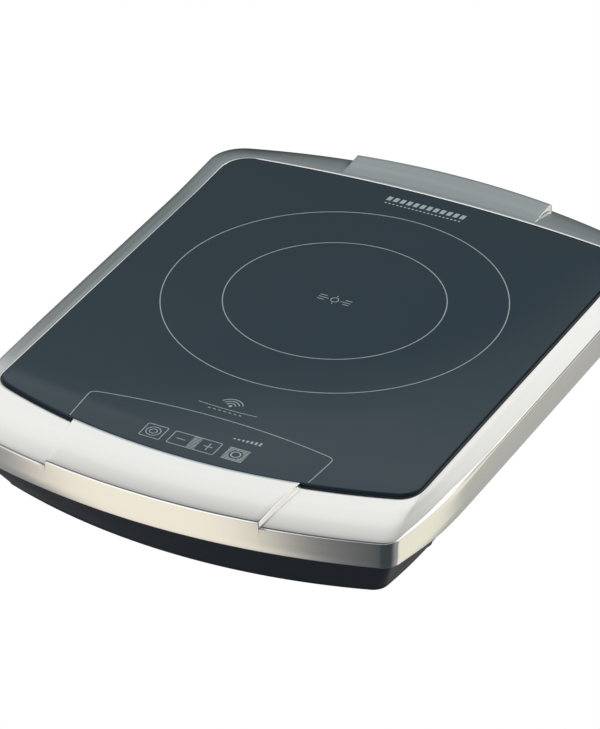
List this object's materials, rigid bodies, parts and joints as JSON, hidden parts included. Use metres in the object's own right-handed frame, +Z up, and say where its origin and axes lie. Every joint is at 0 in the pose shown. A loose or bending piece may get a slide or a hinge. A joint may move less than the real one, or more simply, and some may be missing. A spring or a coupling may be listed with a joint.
{
  "type": "induction cooktop",
  "caption": "Portable electric induction cooktop: ceramic glass top with touch keys in a bowed brushed-steel frame on a dark plastic base, with coil, power board and cooling fan inside.",
  "frame": {"origin": "middle of the overall plan outline, on the surface that the rubber feet stand on", "axes": "+X to the right of somebody facing the touch keys, +Y away from them towards the rear and the cord gland, +Z up"},
  "size_m": [0.3252, 0.4338, 0.0686],
  "materials": {
    "cooktop_glass": "gloss",
    "silicone": "matt",
    "brushed_steel": "brushed",
    "galvanised_steel": "satin",
    "screw_steel": "satin",
    "base_plastic": "fine texture",
    "foot_rubber": "matt",
    "gland_rubber": "matt",
    "mica": "satin",
    "litz_copper": "satin",
    "carrier_plastic": "matt",
    "ferrite": "matt",
    "shield_aluminium": "satin",
    "white_silicone": "matt",
    "sensor_glass": "gloss",
    "lead_sleeve": "satin",
    "sensor_sleeve": "satin",
    "board_laminate": "satin",
    "heatsink_aluminium": "extruded",
    "component_black": "satin",
    "capacitor_blue": "gloss",
    "capacitor_yellow": "gloss",
    "can_aluminium": "satin",
    "winding_copper": "enamelled",
    "tape_yellow": "satin",
    "fuse_glass": "clear",
    "clip_brass": "tinned",
    "varistor_blue": "gloss",
    "terminal_plastic": "satin",
    "header_plastic": "satin",
    "earth_sleeve": "satin",
    "fan_plastic": "satin",
    "magnet": "matt",
    "shaft_steel": "polished",
    "bearing_bronze": "satin",
    "guide_clear": "frosted",
    "led_red": "clear",
    "ribbon_grey": "satin",
    "duct_plastic": "satin"
  },
  "bodies": {
    "housing": {"glass_plate": "cooktop_glass", "glass_seal": "silicone", "steel_frame": "brushed_steel", "frame_brackets": "galvanised_steel", "base_housing": "base_plastic", "base_screws": "screw_steel", "rubber_feet": "foot_rubber", "cord_gland": "gland_rubber", "gland_nut": "carrier_plastic", "mica_sheet": "mica", "induction_coil": "litz_copper", "coil_carrier": "carrier_plastic", "ferrite_bars": "ferrite", "shield_plate": "shield_aluminium", "shield_screws": "screw_steel", "carrier_screws": "screw_steel", "thermistor_holder": "white_silicone", "thermistor": "sensor_glass", "coil_leads": "lead_sleeve", "sensor_lead": "sensor_sleeve", "power_board": "board_laminate", "board_screws": "screw_steel", "heatsink": "heatsink_aluminium", "igbt_pair": "component_black", "bridge_rectifier": "component_black", "heatsink_screws": "screw_steel", "resonant_capacitor": "capacitor_blue", "bus_capacitor": "capacitor_blue", "interference_capacitor": "capacitor_yellow", "smoothing_capacitors": "can_aluminium", "filter_choke": "winding_copper", "choke_core": "ferrite", "common_mode_choke": "winding_copper", "aux_transformer": "tape_yellow", "current_transformer": "component_black", "fuse": "fuse_glass", "fuse_clips": "clip_brass", "varistor": "varistor_blue", "terminal_block": "terminal_plastic", "board_headers": "header_plastic", "earth_wire": "earth_sleeve", "earth_screw": "screw_steel", "fan_frame": "fan_plastic", "fan_bearing": "bearing_bronze", "fan_stator": "winding_copper", "fan_screws": "screw_steel", "fan_lead": "sensor_sleeve", "air_duct": "duct_plastic", "touch_board": "board_laminate", "touch_springs": "clip_brass", "light_guide": "guide_clear", "display_leds": "led_red", "control_chip": "component_black", "buzzer": "component_black", "touch_bracket": "carrier_plastic", "bracket_screws": "screw_steel", "ribbon_cable": "ribbon_grey"},
    "fan_rotor": {"fan_impeller": "fan_plastic", "fan_magnet": "magnet", "fan_shaft": "shaft_steel"}
  },
  "joints": [
    {"name": "fan_spin", "type": "hinge", "parent": "housing", "child": "fan_rotor", "pos_m": [-0.048, 0.092, 0.019], "axis": [0, 0, 1], "continuous": true}
  ]
}
